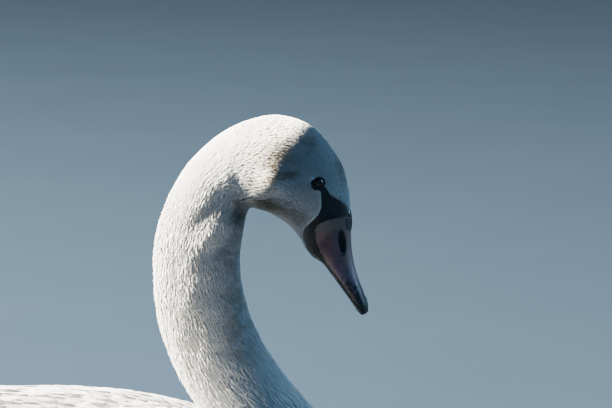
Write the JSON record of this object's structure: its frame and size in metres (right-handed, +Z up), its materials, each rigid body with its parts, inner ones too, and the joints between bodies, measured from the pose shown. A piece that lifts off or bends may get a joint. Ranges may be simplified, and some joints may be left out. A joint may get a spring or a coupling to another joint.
{
  "type": "mute swan",
  "caption": "Standing swan with folded wings, its neck drawn back in a curve and its bill pointing at the ground, a still life-size model for display.",
  "frame": {"origin": "on the floor, under the middle of the bird's box", "axes": "+X the way the breast faces, +Y to the bird's left, +Z up"},
  "size_m": [0.7536, 0.3052, 0.6802],
  "materials": {
    "plumage": "soft overlapping white feathers",
    "bill": "smooth dusky salmon skin over horn, satin",
    "black_skin": "bare black skin and horn, satin",
    "leg_skin": "scaly blackish skin, dull",
    "claw": "dark horn, worn",
    "eye": "wet dark brown eye"
  },
  "bodies": {
    "root": {"head": "plumage", "neck_upper": "plumage", "neck_middle": "plumage", "neck_lower": "plumage", "trunk": "plumage", "wing_right": "plumage", "wing_left": "plumage", "primaries_right": "plumage", "primaries_left": "plumage", "tail": "plumage", "thigh_right": "plumage", "thigh_left": "plumage", "eye_right": "eye", "eye_left": "eye", "bill_upper": "bill", "bill_nail": "black_skin", "bill_lower": "black_skin", "bill_knob": "black_skin", "shank_right": "leg_skin", "shank_left": "leg_skin", "foot_right": "leg_skin", "foot_left": "leg_skin", "claw_inner_right": "claw", "claw_inner_left": "claw", "claw_middle_right": "claw", "claw_middle_left": "claw", "claw_outer_right": "claw", "claw_outer_left": "claw", "claw_hind_right": "claw", "claw_hind_left": "claw"}
  },
  "joints": []
}
